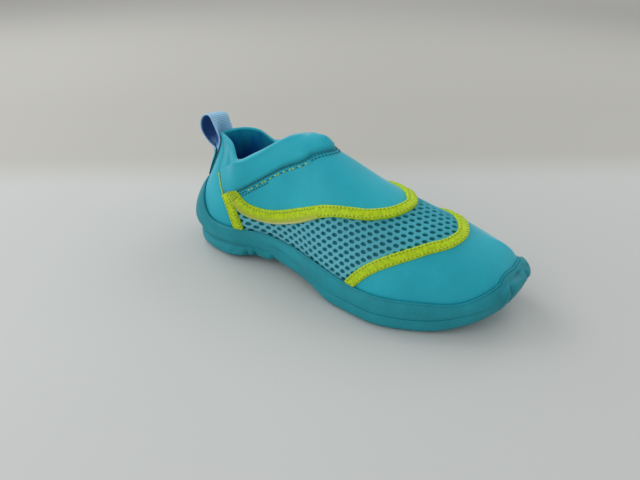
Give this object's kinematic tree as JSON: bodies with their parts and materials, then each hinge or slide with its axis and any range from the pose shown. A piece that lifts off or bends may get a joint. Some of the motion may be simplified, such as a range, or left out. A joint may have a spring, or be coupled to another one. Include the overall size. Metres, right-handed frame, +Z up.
{
  "type": "water shoe",
  "caption": "Child's slip-on water shoe with a moulded rubber sole, a stretch upper with a mesh window, a cuff, tapes and a pull loop.",
  "frame": {"origin": "on the floor under the middle of the shoe's box", "axes": "+X to the toe, +Y to the inner side of a right shoe, +Z up"},
  "size_m": [0.2081, 0.0824, 0.0838],
  "materials": {
    "sole_rubber": "matt teal rubber",
    "neoprene": "turquoise stretch cloth on foam",
    "cuff_cloth": "turquoise folded stretch cloth",
    "lime_tape": "lime tape with a slight sheen",
    "webbing": "light blue ribbed webbing",
    "insole_foam": "dark cloth-faced foam"
  },
  "bodies": {
    "root": {"outsole": "sole_rubber", "upper": "neoprene", "insole": "insole_foam", "collar_cuff": "cuff_cloth", "vamp_tape": "lime_tape", "toe_tape": "lime_tape", "heel_tape_outer": "lime_tape", "heel_tape_inner": "lime_tape", "pull_loop": "webbing"}
  },
  "joints": []
}
